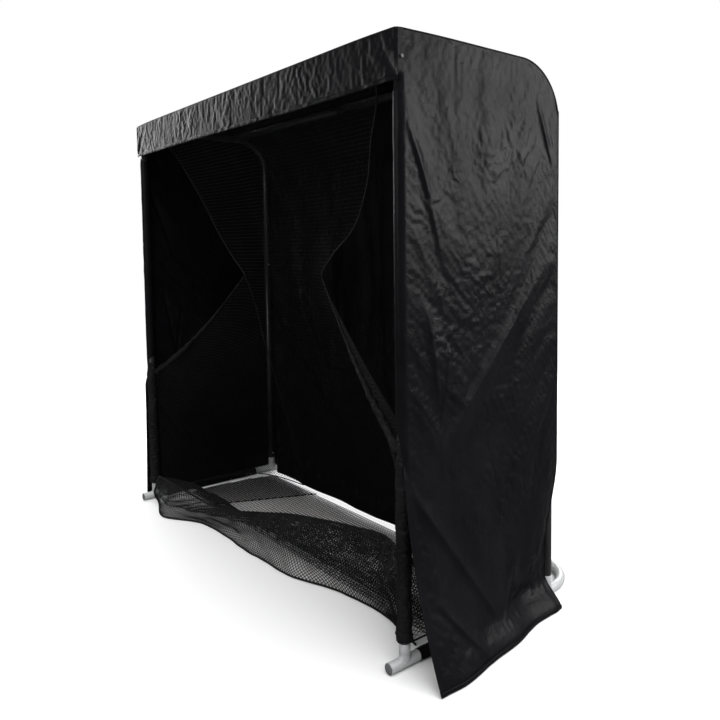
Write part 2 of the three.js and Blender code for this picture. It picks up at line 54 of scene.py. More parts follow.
LEFT, RIGHT = centre("upright_lower_l"), centre("upright_lower_r")
HOME = Vector(((LEFT.x + RIGHT.x) / 2, LEFT.y, 0))  # on the floor, midway between the uprights
HALF = (RIGHT.x - LEFT.x) / 2
POST_Y = centre("rear_post_r").y - HOME.y
REAR_Y = centre("base_rear_bar_r").y - HOME.y
RAIL_Z = centre("base_rear_bar_r").z
TOP_Z = centre("top_front_bar_r").z
TOP_REAR_Y = centre("top_rear_bar_r").y - HOME.y
TOE_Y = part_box("base_side_rail_r")[0][1] - HOME.y
RAIL_END_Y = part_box("base_rear_corner_r")[0][1] - HOME.y
STUB_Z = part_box("upright_lower_r")[0][2]
UPRIGHT_MID_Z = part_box("upright_upper_r")[0][2]
POST_MID_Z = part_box("side_arm_r")[0][2]
CORNER_END_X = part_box("base_rear_corner_r")[0][0] - HOME.x
TUBE = 0.021             # radius of every tube
SOCKET = 0.024           # radius of the corner fittings' sockets
SOCKET_REACH = 0.085
SOCKET_STOP = 0.028      # how near to a fitting's middle its tubes come
ARM_STUB = 0.095         # reach of a side arm's stub for the top rear bar
BASE_BEND, ARM_BEND = 0.19, 0.2
GAP = 0.0004             # between tubes that meet end to end
SIDES = {"l": -1, "r": 1}


def at(x, y, z):
    """A point given from HOME, in the row frame."""
    return HOME + Vector((x, y, z))


# ---------------------------------------------------------------- camera, lights and stage

def add_camera():
    data = bpy.data.cameras.new("camera")
    data.lens = 35.24
    data.shift_x = -0.0489
    data.shift_y = -0.0847
    data.clip_end = 60
    cam = bpy.data.objects.new("camera", data)
    cam.location = at(3.067, -1.604, 1.513)
    cam.rotation_euler = [math.radians(a) for a in (86.109, 0.560, 50.033)]
    bpy.context.scene.collection.objects.link(cam)
    bpy.context.scene.camera = cam


def add_area(name, place, target, size, power):
    data = bpy.data.lights.new(name, "AREA")
    data.shape = "RECTANGLE"
    data.size, data.size_y = size
    data.energy = power
    lamp = bpy.data.objects.new(name, data)
    lamp.location = place
    lamp.rotation_euler = (target - place).to_track_quat("-Z", "Y").to_euler()
    lamp.visible_camera = False
    bpy.context.scene.collection.objects.link(lamp)


def add_lights():
    data = bpy.data.lights.new("overhead", "SUN")
    data.energy = 3.7
    data.angle = math.radians(70)
    sun = bpy.data.objects.new("overhead", data)
    sun.rotation_euler = Vector((-0.45, 0.12, -1)).to_track_quat("-Z", "Y").to_euler()
    bpy.context.scene.collection.objects.link(sun)
    add_area("sheen", at(4.0, 3.4, 2.7), at(1.2, 0.4, 1.9), (3.0, 2.2), 150)
    add_area("front", at(0.4, -4.8, 2.6), at(-0.2, 0, 0.9), (2.6, 2.0), 48)
    add_area("left", at(-4.6, 0.2, 2.8), at(-1.2, 0.4, 1.4), (3.0, 2.4), 120)
    add_area("back", at(-1.0, 5.2, 2.8), at(0, 0.8, 1.4), (3.4, 2.4), 170)


def add_stage():
    reach = 30
    mesh = bpy.data.meshes.new("floor")
    corners = [(-reach, -reach, 0), (reach, -reach, 0), (reach, reach, 0), (-reach, reach, 0)]
    mesh.from_pydata(corners, [], [(0, 1, 2, 3)])
    floor = bpy.data.objects.new("floor", mesh)
    floor.location = (0, 0, -0.0005)
    bpy.context.scene.collection.objects.link(floor)
    mat, tree, shader = new_material("floor_white")
    # The floor is near white to the camera and to diffuse light but dark grey to glossy rays: a painted dark
    # reflection of the floor in the shiny cover, cords and tubes.
    rays = add_node(tree, "ShaderNodeLightPath")
    tone = add_node(tree, "ShaderNodeValToRGB", Fac=rays.outputs["Is Glossy Ray"])
    tone.color_ramp.elements[0].color = (0.92, 0.92, 0.92, 1)
    tone.color_ramp.elements[1].color = (0.07, 0.07, 0.07, 1)
    tree.links.new(tone.outputs["Color"], shader.inputs["Base Color"])
    shader.inputs["Roughness"].default_value = 0.8
    mesh.materials.append(mat)
    world = bpy.data.worlds.new("studio")
    bpy.context.scene.world = world
    world.use_nodes = True
    tree = world.node_tree
    sky = tree.nodes["Background"]
    rays = add_node(tree, "ShaderNodeLightPath")
    level = add_node(tree, "ShaderNodeMapRange", Value=rays.outputs["Is Camera Ray"], To_Min=0.11,
                     To_Max=1.0)
    tree.links.new(level.outputs["Result"], sky.inputs["Strength"])
    sky.inputs["Color"].default_value = (1, 1, 1, 1)
    bpy.context.scene.view_settings.view_transform = "Standard"


# ---------------------------------------------------------------- materials

def new_material(name):
    mat = bpy.data.materials.new(name)
    mat.use_nodes = True
    tree = mat.node_tree
    return mat, tree, tree.nodes["Principled BSDF"]


def add_node(tree, kind, settings=None, **inputs):
    node = tree.nodes.new(kind)
    for key, value in (settings or {}).items():
        setattr(node, key, value)
    for key, value in inputs.items():
        socket = node.inputs[key.replace("_", " ")]
        if isinstance(value, bpy.types.NodeSocket):
            tree.links.new(value, socket)
        else:
            socket.default_value = value
    return node


def ramp(tree, source, low, high):
    """Spreads a 0 to 1 signal between two colours."""
    node = add_node(tree, "ShaderNodeValToRGB", Fac=source)
    for stop, (place, shade) in zip(node.color_ramp.elements, (low, high)):
        stop.position = place
        stop.color = shade if isinstance(shade, tuple) else (shade, shade, shade, 1)
    return node.outputs["Color"]


def bump(tree, shader, layers):
    """Stacks bumps, each a (height, distance, strength), on one shader."""
    normal = None
    for height, distance, strength in layers:
        node = add_node(tree, "ShaderNodeBump", Height=height, Distance=distance, Strength=strength)
        if normal is not None:
            tree.links.new(normal, node.inputs["Normal"])
        normal = node.outputs["Normal"]
    tree.links.new(normal, shader.inputs["Normal"])


def noise_of(tree, place, scale, detail=3.0, roughness=0.5, distortion=0.0, kind="FBM"):
    node = add_node(tree, "ShaderNodeTexNoise", {"noise_type": kind}, Vector=place, Scale=scale,
                    Detail=detail, Roughness=roughness, Distortion=distortion)
    return node.outputs[0]


def object_place(tree):
    return add_node(tree, "ShaderNodeTexCoord").outputs["Object"]


def powder_coat(name, dark, light):
    mat, tree, shader = new_material(name)
    place = object_place(tree)
    mottle = noise_of(tree, place, 9, 4)
    tree.links.new(ramp(tree, mottle, (0.3, dark), (0.7, light)), shader.inputs["Base Color"])
    scuff = noise_of(tree, place, 60, 5, 0.6)
    tree.links.new(ramp(tree, scuff, (0.3, 0.28), (0.7, 0.44)), shader.inputs["Roughness"])
    bump(tree, shader, [(noise_of(tree, place, 900, 2), 0.0004, 0.25)])
    shader.inputs["Coat Weight"].default_value = 0.2
    shader.inputs["Coat Roughness"].default_value = 0.25
    return mat


def moulded_plastic():
    mat, tree, shader = new_material("moulded_plastic")
    place = object_place(tree)
    tone = noise_of(tree, place, 45, 3)
    tree.links.new(ramp(tree, tone, (0.3, (0.075, 0.078, 0.082, 1)), (0.7, (0.10, 0.103, 0.107, 1))),
                   shader.inputs["Base Color"])
    shader.inputs["Roughness"].default_value = 0.5
    bump(tree, shader, [(noise_of(tree, place, 1500, 2), 0.0003, 0.3)])
    return mat


def zinc():
    mat, tree, shader = new_material("zinc")
    place = object_place(tree)
    tone = noise_of(tree, place, 300, 3)
    tree.links.new(ramp(tree, tone, (0.3, (0.52, 0.53, 0.55, 1)), (0.7, (0.66, 0.67, 0.69, 1))),
                   shader.inputs["Base Color"])
    tree.links.new(ramp(tree, tone, (0.3, 0.22), (0.7, 0.38)), shader.inputs["Roughness"])
    shader.inputs["Metallic"].default_value = 1
    return mat


def net_cord():
    mat, tree, shader = new_material("net_cord")
    place = object_place(tree)
    tone = noise_of(tree, place, 30, 3)
    tree.links.new(ramp(tree, tone, (0.3, (0.004, 0.004, 0.0045, 1)), (0.7, (0.008, 0.008, 0.009, 1))),
                   shader.inputs["Base Color"])
    shader.inputs["Roughness"].default_value = 0.62
    shader.inputs["Specular IOR Level"].default_value = 0.2
    bump(tree, shader, [(noise_of(tree, place, 1400, 2), 0.0005, 0.5)])
    return mat


def woven(name, tones, rough, crinkle):
    """Coated polyester: a fine plain weave under a thin crinkled coating."""
    mat, tree, shader = new_material(name)
    place = object_place(tree)
    tone = noise_of(tree, place, 5, 4, 0.6)
    tree.links.new(ramp(tree, tone, (0.3, tones[0]), (0.7, tones[1])), shader.inputs["Base Color"])
    patch = noise_of(tree, place, 3.5, 3, 0.55, 0.4)
    tree.links.new(ramp(tree, patch, (0.35, rough[0]), (0.65, rough[1])), shader.inputs["Roughness"])
    weave = add_node(tree, "ShaderNodeTexWave", {"bands_direction": "Z"}, Vector=place, Scale=620,
                     Distortion=0.6)
    warp = add_node(tree, "ShaderNodeTexWave", {"bands_direction": "DIAGONAL"}, Vector=place, Scale=620,
                    Distortion=0.6)
    cloth = add_node(tree, "ShaderNodeMath", {"operation": "MULTIPLY"})
    tree.links.new(weave.outputs["Fac"], cloth.inputs[0])
    tree.links.new(warp.outputs["Fac"], cloth.inputs[1])
    creases = noise_of(tree, place, 26, 6, 0.55, 0.9, "RIDGED_MULTIFRACTAL")
    small = noise_of(tree, place, 75, 5, 0.6, 0.7, "RIDGED_MULTIFRACTAL")
    bump(tree, shader, [(creases, 0.004, crinkle), (small, 0.0015, crinkle),
                        (cloth.outputs[0], 0.0003, 0.2)])
    shader.inputs["Specular IOR Level"].default_value = 0.09
    return mat


# ---------------------------------------------------------------- mesh helpers

def add_piece(name, verts, faces, body, slot, mat, hides=(), smooth=True):
    mesh = bpy.data.meshes.new(name)
    mesh.from_pydata([tuple(v) for v in verts], [], [tuple(f) for f in faces])
    mesh.polygons.foreach_set("use_smooth", [smooth] * len(mesh.polygons))
    mesh.materials.append(mat)
    mesh.update()
    piece = bpy.data.objects.new(name, mesh)
    bpy.context.scene.collection.objects.link(piece)
    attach(piece, body)
    if hides:
        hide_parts(*hides)
    return piece


def join(*parts):
    """Joins (verts, faces) pairs."""
    verts, faces = [], []
    for more, shapes in parts:
        base = len(verts)
        verts.extend(more)
        faces.extend([tuple(k + base for k in face) for face in shapes])
    return verts, faces


def grid(place, columns, rows):
    """Vertices and quads of a sheet place(u, v), with u and v from 0 to 1."""
    verts = [place(i / columns, j / rows) for j in range(rows + 1) for i in range(columns + 1)]
    step = columns + 1
    faces = [(j * step + i, j * step + i + 1, (j + 1) * step + i + 1, (j + 1) * step + i)
             for j in range(rows) for i in range(columns)]
    return verts, faces


def bands(rings, sides):
    """Quads between closed rings of points."""
    faces = []
    for k in range(rings - 1):
        for i in range(sides):
            j = (i + 1) % sides
            faces.append((k * sides + i, k * sides + j, (k + 1) * sides + j, (k + 1) * sides + i))
    return faces


def rounded(points, radius, steps=14):
    """A polyline with its inner corners turned on a radius."""
    path = [points[0]]
    for before, corner, after in zip(points, points[1:], points[2:]):
        a = (before - corner).normalized()
        b = (after - corner).normalized()
        half = a.angle(b) / 2
        cut = radius / math.tan(half)
        middle = corner + (a + b).normalized() * radius / math.sin(half)
        start = corner + a * cut - middle
        end = corner + b * cut - middle
        path += [middle + start.slerp(end, k / steps).normalized() * radius for k in range(steps + 1)]
    path.append(points[-1])
    return path


def sweep(path, radius, sides=28, chamfer=0.0008):
    """A round bar along a path, with broken edges at both ends; radius may be a function."""
    size = radius if callable(radius) else (lambda k, a: radius)
    tangents = [(path[min(k + 1, len(path) - 1)] - path[max(k - 1, 0)]).normalized()
                for k in range(len(path))]
    across = tangents[0].orthogonal().normalized()
    rings = []
    for k, (point, along) in enumerate(zip(path, tangents)):
        across = (across - along * across.dot(along)).normalized()
        other = along.cross(across)
        ring = []
        for i in range(sides):
            a = 2 * math.pi * i / sides
            ring.append(point + (across * math.cos(a) + other * math.sin(a)) * size(k, a))
        rings.append(ring)
    for end, sign in ((0, -1), (-1, 1)):
        point = path[end]
        small = [point + (p - point) * (1 - chamfer / (p - point).length) for p in rings[end]]
        inner = [p - tangents[end] * sign * chamfer for p in rings[end]]
        rings[end] = inner
        if sign < 0:
            rings.insert(0, small)
        else:
            rings.append(small)
    verts = [p for ring in rings for p in ring]
    faces = bands(len(rings), sides)
    last = (len(rings) - 1) * sides
    faces.append(tuple(reversed(range(sides))))
    faces.append(tuple(range(last, last + sides)))
    return verts, faces


def lathe(profile, origin, direction, sides=36):
    """Turns (radius, height) points about an axis."""
    across = direction.orthogonal().normalized()
    other = direction.cross(across)
    verts = []
    for r, h in profile:
        for i in range(sides):
            a = 2 * math.pi * i / sides
            verts.append(origin + direction * h + (across * math.cos(a) + other * math.sin(a)) * r)
    return verts, bands(len(profile), sides)


def smoothstep(low, high, value):
    t = min(max((value - low) / (high - low), 0), 1)
    return t * t * (3 - 2 * t)


def lerp(a, b, t):
    return a + (b - a) * t


def along(points, t):
    """A Catmull-Rom curve through points, at t from 0 to 1."""
    span = min(max(t, 0), 1) * (len(points) - 1)
    k = min(int(span), len(points) - 2)
    f = span - k
    a = points[k - 1] if k > 0 else points[0] * 2 - points[1]
    b, c = points[k], points[k + 1]
    d = points[k + 2] if k + 2 < len(points) else points[-1] * 2 - points[-2]
    return ((b * 2) + (c - a) * f + (a * 2 - b * 5 + c * 4 - d) * f ** 2
            + (b * 3 - a - c * 3 + d) * f ** 3) * 0.5


# ---------------------------------------------------------------- the tube frame

def saddle(x, y):
    """The welded foot of an upright stub on a rail: equal tubes, with a weld fillet."""
    verts, rows, sides, fillet = [], 7, 40, 0.011
    for k in range(rows):
        t = k / (rows - 1)
        for i in range(sides):
            a = 2 * math.pi * i / sides
            px = TUBE * 1.002 * math.cos(a)
            py = (TUBE + fillet * (1 - t) ** 2) * math.sin(a)
            low = math.sqrt(max(TUBE ** 2 - px ** 2, 0))
            pz = low + (TUBE + fillet - low) * t ** 1.6
            verts.append(at(x + px, y + py, RAIL_Z + pz))
    stub = sweep([at(x, y, RAIL_Z + TUBE + fillet * 0.9), at(x, y, STUB_Z - GAP)], TUBE)
    return join((verts, bands(rows, sides)), stub)


def build_frame(grey, black, plastic, steel):
    for side, s in SIDES.items():
        x = s * HALF
        rail = sweep([at(x, TOE_Y, RAIL_Z), at(x, RAIL_END_Y - GAP, RAIL_Z)], TUBE)
        add_piece(f"side_rail_{side}", *join(rail, saddle(x, 0)), "frame", "base_tube", grey,
                  [f"base_side_rail_{side}"])
        inner = s * CORNER_END_X
        bend = rounded([at(x, RAIL_END_Y, RAIL_Z), at(x, REAR_Y, RAIL_Z), at(inner, REAR_Y, RAIL_Z)],
                       BASE_BEND)
        add_piece(f"rear_corner_{side}", *join(sweep(bend, TUBE), saddle(x, POST_Y)), "frame", "base_tube",
                  grey, [f"base_rear_corner_{side}"])
        bar = sweep([at(0, REAR_Y, RAIL_Z), at(inner - s * GAP, REAR_Y, RAIL_Z)], TUBE)
        add_piece(f"rear_bar_{side}", *bar, "frame", "base_tube", grey, [f"base_rear_bar_{side}"])
        runs = {
            "upright_lower": [at(x, 0, STUB_Z), at(x, 0, UPRIGHT_MID_Z - GAP)],
            "upright_upper": [at(x, 0, UPRIGHT_MID_Z), at(x, 0, TOP_Z - SOCKET_STOP)],
            "rear_post": [at(x, POST_Y, STUB_Z), at(x, POST_Y, POST_MID_Z - GAP)],
            "top_front_bar": [at(s * 0.0003, 0, TOP_Z), at(x - s * SOCKET_STOP, 0, TOP_Z)],
            "top_rear_bar": [at(s * 0.0003, TOP_REAR_Y, TOP_Z),
                             at(x - s * (ARM_STUB + 0.0003), TOP_REAR_Y, TOP_Z)],
        }
        for name, path in runs.items():
            add_piece(f"tube_{name}_{side}", *sweep(path, TUBE), "frame", "upper_tube", black,
                      [f"{name}_{side}"])
        arm = rounded([at(x, SOCKET_STOP, TOP_Z), at(x, POST_Y, TOP_Z), at(x, POST_Y, POST_MID_Z)],
                      ARM_BEND, 20)
        branch = sweep([at(x - s * 0.012, TOP_REAR_Y, TOP_Z), at(x - s * ARM_STUB, TOP_REAR_Y, TOP_Z)],
                       TUBE * 0.995)
        add_piece(f"tube_side_arm_{side}", *join(sweep(arm, TUBE), branch), "frame", "upper_tube", black,
                  [f"side_arm_{side}"])
        hub = at(x, 0, TOP_Z)
        sockets = [sweep([hub, hub + Vector(way) * SOCKET_REACH], SOCKET)
                   for way in ((0, 0, -1), (-s, 0, 0), (0, 1, 0))]
        turn = [(max(SOCKET * math.cos(math.radians(a)), 0.0002), SOCKET * math.sin(math.radians(a)))
                for a in range(-90, 91, 10)]
        add_piece(f"socket_{side}", *join(*sockets, lathe(turn, hub, Vector((0, 0, 1)))), "frame",
                  "corner_fitting", black, [f"corner_fitting_{side}"])
        dome = [(0.0188, -0.02), (0.0188, 0), (0.0206, 0.0002), (TUBE, 0.0008), (0.0196, 0.0022),
                (0.017, 0.0036), (0.013, 0.0049), (0.0075, 0.0058), (0.0002, 0.0061)]
        add_piece(f"toe_cap_{side}", *lathe(dome, at(x, TOE_Y, RAIL_Z), Vector((0, -1, 0))), "frame", "end_cap",
                  plastic, [f"rail_end_cap_{side}"])
    for name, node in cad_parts.items():
        if name.startswith(("snap_button", "cover_snap")):
            for slot in node.material_slots:
                slot.material = plastic if name.startswith("cover") else steel


# ---------------------------------------------------------------- the cover

ROOF_LOW, ROOF_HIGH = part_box("cover_roof")
SIDE_X = centre("cover_valance").x - HOME.x + (ROOF_HIGH[0] - ROOF_LOW[0]) / 2
FRONT_Y = centre("cover_valance").y - HOME.y
BACK_Y = centre("cover_rear").y - HOME.y
ROOF_Z = ROOF_HIGH[2] - 0.0015
BEND = ROOF_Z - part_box("cover_rear")[1][2]
BEND_Y = BACK_Y - BEND
VALANCE_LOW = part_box("cover_valance")[0][2]
REAR_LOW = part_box("cover_rear")[0][2]
# How far each side panel's foot stands out at its front and rear, and how far its rear shifts.
FLARES = {"l": (0.035, 0.030, -0.010), "r": (0.200, 0.092, -0.080)}
WRAP_SHARE = 0.12        # the share of a side panel that wraps round its upright
LEFT_HOLD = -1.14        # the rear panel's foot comes forward only to the right of this
REAR_FOOT_X = 1.152      # and it ends here on the right
REAR_SHIFT = 0.078
THREAD = 0.0004

# Folds pressed into the side panels: from (y, z) to (y, z), half width and height.
FOLDS = (
    ((0.68, 1.36), (0.16, 0.76), 0.050, 0.015), ((-0.03, 2.06), (0.10, 1.72), 0.016, 0.008),
    ((0.00, 2.04), (0.17, 1.50), 0.028, 0.007), ((-0.02, 0.68), (0.36, 0.14), 0.034, 0.012),
    ((0.05, 0.26), (0.25, 0.03), 0.020, 0.010), ((0.71, 2.12), (0.82, 1.82), 0.018, 0.009),
    ((0.57, 0.26), (0.44, 0.10), 0.030, 0.011), ((0.62, 0.22), (0.80, 0.24), 0.024, 0.010),
    ((0.10, 1.30), (0.16, 0.95), 0.016, 0.006), ((0.22, 1.22), (0.16, 0.80), 0.014, 0.006))


def pressed(y, z):
    """The height of the pressed folds at a place on a side panel."""
    total = 0.0
    here = Vector((y, z))
    for a, b, width, height in FOLDS:
        t = min(max(geometry.intersect_point_line(here, Vector(a), Vector(b))[1], 0), 1)
        away = here - Vector(a).lerp(Vector(b), t)
        side = 1 if away.x > 0 else 0.55
        total += (height * (0.35 + 0.65 * math.sin(math.pi * t))
                  * math.exp(-abs(away.length / (width * side)) ** 1.4))
    return total


def facets(p, scale, seed):
    """Crumpled cloth: flat facets that meet in sharp creases, from 0 in a crease to about 1."""
    q = Vector((p.x * scale, p.y * scale, p.z * scale * 0.8 + seed))
    q += noise.noise_vector(q * 0.5) * 0.7
    near = noise.voronoi(q)[0]
    return min(near[1] - near[0], 1.0)


def rumple(p, seed):
    """How far folded polyester stands off its flat sheet, in metres."""
    wide = noise.noise(Vector((p.x * 1.9, p.y * 2.6, p.z * 1.1 + seed))) * 0.008
    patch = smoothstep(0.08, 0.42, noise.noise(Vector((p.x * 2.9, p.y * 2.9, p.z * 2.9 + seed + 9))))
    shard = facets(p, 17, seed) * 0.0050 + facets(p, 38, seed + 3) * 0.0022
    streaks = noise.noise(Vector((p.x * 16, p.y * 16, p.z * 2.4 + seed))) * 0.0010
    return wide + shard * (0.10 + 0.90 * patch) + facets(p, 6, seed + 5) * 0.0035 + streaks


def droop(x, y):
    """How far the cover sags over its front corners and rounds off along its sides."""
    inset = max(SIDE_X - abs(x), 0)
    return (0.004 * math.exp(-(inset ** 2 + (y - FRONT_Y) ** 2) / 0.0225)
            + 0.011 * math.exp(-inset / 0.010) + 0.007 * math.exp(-max(y - FRONT_Y, 0) / 0.009))


def side_top(y):
    past = min(max((y - BEND_Y) / BEND, 0), 1)
    return ROOF_Z - 0.001 - droop(SIDE_X, y) - BEND * (1 - math.sqrt(max(1 - past ** 2, 0)))


def side_panel(side):
    """A side panel from its wrapped front edge (u = 0) to the rear seam, and down from the roof."""
    s = SIDES[side]
    front, rear, shift = FLARES[side]

    def place(u, v):
        fore = max(1 - u / WRAP_SHARE, 0)
        w = max((u - WRAP_SHARE) / (1 - WRAP_SHARE), 0)
        y = lerp(0, BACK_Y, w)
        z = lerp(side_top(min(y, BACK_Y - 0.004)), 0.004, v)
        wrap = smoothstep(0.70, 0.92, z) * (1 - smoothstep(2.05, 2.13, z))
        fall = min(max((1 - z) / 1, 0), 1) ** 2.2
        kick = smoothstep(0.12, 0, z)
        hold = min(1, v * 9, (1 - v) * 30 + 0.35)
        edge = min(1, w * 9 + 0.25, (1 - w) * 14 + 0.15)
        off = rumple(Vector((0, y, z)), 4.0 * s) * hold * edge
        folds = math.sin(w * 15 + 2.2 * math.sin(v * 3.1)) * 0.005 * smoothstep(0.45, 1, v) * edge
        suck = -0.010 * math.sin(math.pi * w) * math.sin(math.pi * min(v * 1.15, 1))
        flare = lerp(front * fall, rear * (kick if side == "r" else fall), smoothstep(0, 1, w))
        out = flare + off + folds + pressed(y, z) * edge + suck
        back = shift * smoothstep(0.62, 0.22, z) * w ** 3 if side == "r" else shift * w * fall
        if fore == 0:
            return at(s * (SIDE_X + out), y + back, z)
        free = Vector((SIDE_X + out, fore * FRONT_Y, z))
        reach = SIDE_X - HALF - 0.0035 * fore
        turn = fore * 0.105 / reach
        pucker = 1 + 0.05 * noise.noise(Vector((turn, z * 16, s * 7)))
        bent = Vector((HALF + out * (1 - fore) + reach * pucker * math.cos(turn),
                       -reach * pucker * math.sin(turn), z))
        p = free.lerp(bent, wrap)
        return at(s * p.x, p.y, z)
    return place


def roof(u, v):
    x = lerp(-SIDE_X, SIDE_X, u)
    flat, arc = BEND_Y - FRONT_Y, BEND * math.pi / 2
    share = flat / (flat + arc)
    hold = min(1, v * 10, (1 - v) * 10, u * 30, (1 - u) * 30)
    sag = -0.012 * math.sin(math.pi * min(v / share, 1)) * math.sin(math.pi * u) ** 0.6
    if v <= share:
        base = Vector((x, lerp(FRONT_Y, BEND_Y, v / share), ROOF_Z))
        normal = Vector((0, 0, 1))
    else:
        a = (v - share) / (1 - share) * math.pi / 2
        normal = Vector((0, math.sin(a), math.cos(a)))
        base = Vector((x, BEND_Y, ROOF_Z - BEND)) + normal * BEND
    off = (rumple(base + normal, 21) * 0.7 - 0.006) * hold + sag
    p = base + normal * (off - droop(x, base.y) * (1 if v <= share else 0.3 + 0.7 * normal.z))
    return at(p.x, p.y, p.z)


def valance(u, v):
    x = lerp(-SIDE_X, SIDE_X, u)
    z = lerp(ROOF_Z - droop(x, FRONT_Y), VALANCE_LOW, v)
    flat = Vector((x, 0, z))
    corner = smoothstep(0.30, 0.0, SIDE_X - abs(x))
    pull = math.sin((SIDE_X - abs(x)) * 62 + v * 7) * 0.006 * corner * v
    wave = math.sin(x * 5.3 + 0.7) * 0.004 * v + rumple(flat * 1.5, 40) * min(1, v * 8 + 0.1)
    return at(x, FRONT_Y - abs(wave) * 0.6 + pull * 0.5 + 0.001, z - 0.003 * math.sin(x * 3.1) * v)


def rear(u, v):
    z = lerp(ROOF_Z - BEND, REAR_LOW - 0.03, v)
    x = lerp(-SIDE_X, lerp(SIDE_X, REAR_FOOT_X, smoothstep(0.80, 0.50, z)), u)
    hold = min(1, v * 12, u * 20, (1 - u) * 20)
    folds = math.sin(x * 11 + 1.5 * math.sin(v * 4)) * 0.008 * smoothstep(0.1, 1, v)
    off = max((rumple(Vector((x, 0, z)), 70) + folds) * hold, -0.004)
    inner = smoothstep(LEFT_HOLD, LEFT_HOLD + 0.12, x)
    return at(x, BACK_Y + off - REAR_SHIFT * smoothstep(0.48, 0.06, z) * inner, z)


def hem(name, line, inward, outward, cloth, thread, width=0.018):
    """A turned hem along a line of points, with two rows of stitches."""
    rows = []
    for share in (0, 0.06, 0.5, 0.94, 1):
        lift = 0.0004 if share in (0, 1) else 0.0018
        rows.append([p + inward * width * share + outward * lift for p in line])
    count = len(line)
    verts = [p for row in rows for p in row]
    faces = [(k * count + i, k * count + i + 1, (k + 1) * count + i + 1, (k + 1) * count + i)
             for k in range(len(rows) - 1) for i in range(count - 1)]
    add_piece(f"{name}_hem", verts, faces, "cover", "cover_fabric", cloth)
    starts, ends = [], []
    for share in (0.15, 0.85):
        track = [p + inward * width * share + outward * 0.0022 for p in line]
        for a, b in zip(track, track[1:]):
            stitches = max(int((b - a).length / 0.004), 1)
            for k in range(stitches):
                starts.append(a.lerp(b, k / stitches))
                ends.append(a.lerp(b, (k + 0.62) / stitches))
    verts, faces = cords(np.array(starts), np.array(ends), THREAD)
    add_piece(f"{name}_stitches", verts.tolist(), faces.tolist(), "cover", "cover_fabric", thread)


def settled(place, columns, rows, held, outward, spare=0.02, frames=16, cap=0.022):
    """place(u, v) after it hangs as cloth with some spare fabric, fixed where held(u, v) says.

    The simulation runs on a coarse copy, and how far that moved is added to the fine sheet.
    """
    verts, faces = grid(place, columns, rows)
    mesh = bpy.data.meshes.new("drape")
    mesh.from_pydata([tuple(v) for v in verts], [], faces)
    drape = bpy.data.objects.new("drape", mesh)
    scene = bpy.context.scene
    scene.collection.objects.link(drape)
    pins = drape.vertex_groups.new(name="pins")
    ticks = [(i / columns, j / rows) for j in range(rows + 1) for i in range(columns + 1)]
    pins.add([k for k, (u, v) in enumerate(ticks) if held(u, v)], 1.0, "REPLACE")
    cloth = drape.modifiers.new("cloth", "CLOTH")
    cloth.settings.quality = 5
    cloth.settings.mass = 0.02
    cloth.settings.tension_stiffness = cloth.settings.compression_stiffness = 20
    cloth.settings.shear_stiffness = 8
    cloth.settings.bending_stiffness = 0.05
    cloth.settings.shrink_min = cloth.settings.shrink_max = -spare
    cloth.settings.vertex_group_mass = "pins"
    cloth.point_cache.frame_start, cloth.point_cache.frame_end = 1, frames
    for frame_number in range(1, frames + 1):
        scene.frame_set(frame_number)
    shape = drape.evaluated_get(bpy.context.evaluated_depsgraph_get()).to_mesh()
    moves = []
    for start, vert in zip(verts, shape.vertices):
        move = vert.co - start
        move += outward * max(-0.003 - move.dot(outward), 0)
        moves.append(move * min(1, cap / max(move.length, 1e-6)))
    bpy.data.objects.remove(drape)
    scene.frame_set(1)

    def moved(u, v):
        x, y = u * columns, v * rows
        i, j = min(int(x), columns - 1), min(int(y), rows - 1)
        a = moves[j * (columns + 1) + i].lerp(moves[j * (columns + 1) + i + 1], x - i)
        b = moves[(j + 1) * (columns + 1) + i].lerp(moves[(j + 1) * (columns + 1) + i + 1], x - i)
        return place(u, v) + a.lerp(b, y - j)
    return moved


def build_cover(cloth, thread):
    up = Vector((0, 0, 1))
    for side, s in SIDES.items():
        place = settled(side_panel(side), 60, 130, lambda u, v: v == 0 or u < 0.13 or u == 1 or v > 0.97,
                        Vector((s, 0, 0)), spare=0.004, cap=0.008)
        panel = add_piece(f"cover_panel_{side}", *grid(place, 170, 400), "cover", "cover_fabric", cloth,
                          [f"cover_side_{side}"])
        hem(f"side_foot_{side}", [place(k / 120, 1) for k in range(121)], up, Vector((s, 0, 0)), cloth,
            thread)
        seam = [place(lerp(WRAP_SHARE, 1, k / 150), 0) for k in range(151)]
        add_piece(f"roof_seam_{side}", *sweep(seam, 0.003, 8), "cover", "cover_fabric", cloth)
        corner = [place(0.002, lerp(0, 0.085, k / 30)) for k in range(31)]
        add_piece(f"corner_seam_{side}", *sweep(corner, 0.0022, 8), "cover", "cover_fabric", cloth)
        back = [place(1, k / 200) for k in range(201)]
        add_piece(f"rear_seam_{side}", *sweep(back, 0.0024, 8), "cover", "cover_fabric", cloth)
    front = settled(valance, 150, 14, lambda u, v: v == 0 or u in (0, 1), Vector((0, -1, 0)),
                    spare=0.003, cap=0.004)
    back = settled(rear, 110, 90, lambda u, v: v == 0 or u in (0, 1) or v > 0.97, Vector((0, 1, 0)))
    sheets = (("cover_roof", roof, (360, 160), (2.43, 1.03), "stretched"),
              ("cover_valance", front, (480, 44), (2.43, 0.20), "hung"),
              ("cover_rear", back, (300, 250), (2.40, 2.02), "hung"))
    for node, place, (columns, rows), flat, held in sheets:
        sheet = add_piece(f"{node}_sheet", *grid(place, columns, rows), "cover", "cover_fabric", cloth, [node])
    hem("valance", [front(k / 240, 1) for k in range(241)], up, Vector((0, -1, 0)), cloth, thread)
    hem("rear", [back(k / 160, 1) for k in range(161)], up, Vector((0, 1, 0)), cloth, thread)


# ---------------------------------------------------------------- the netting

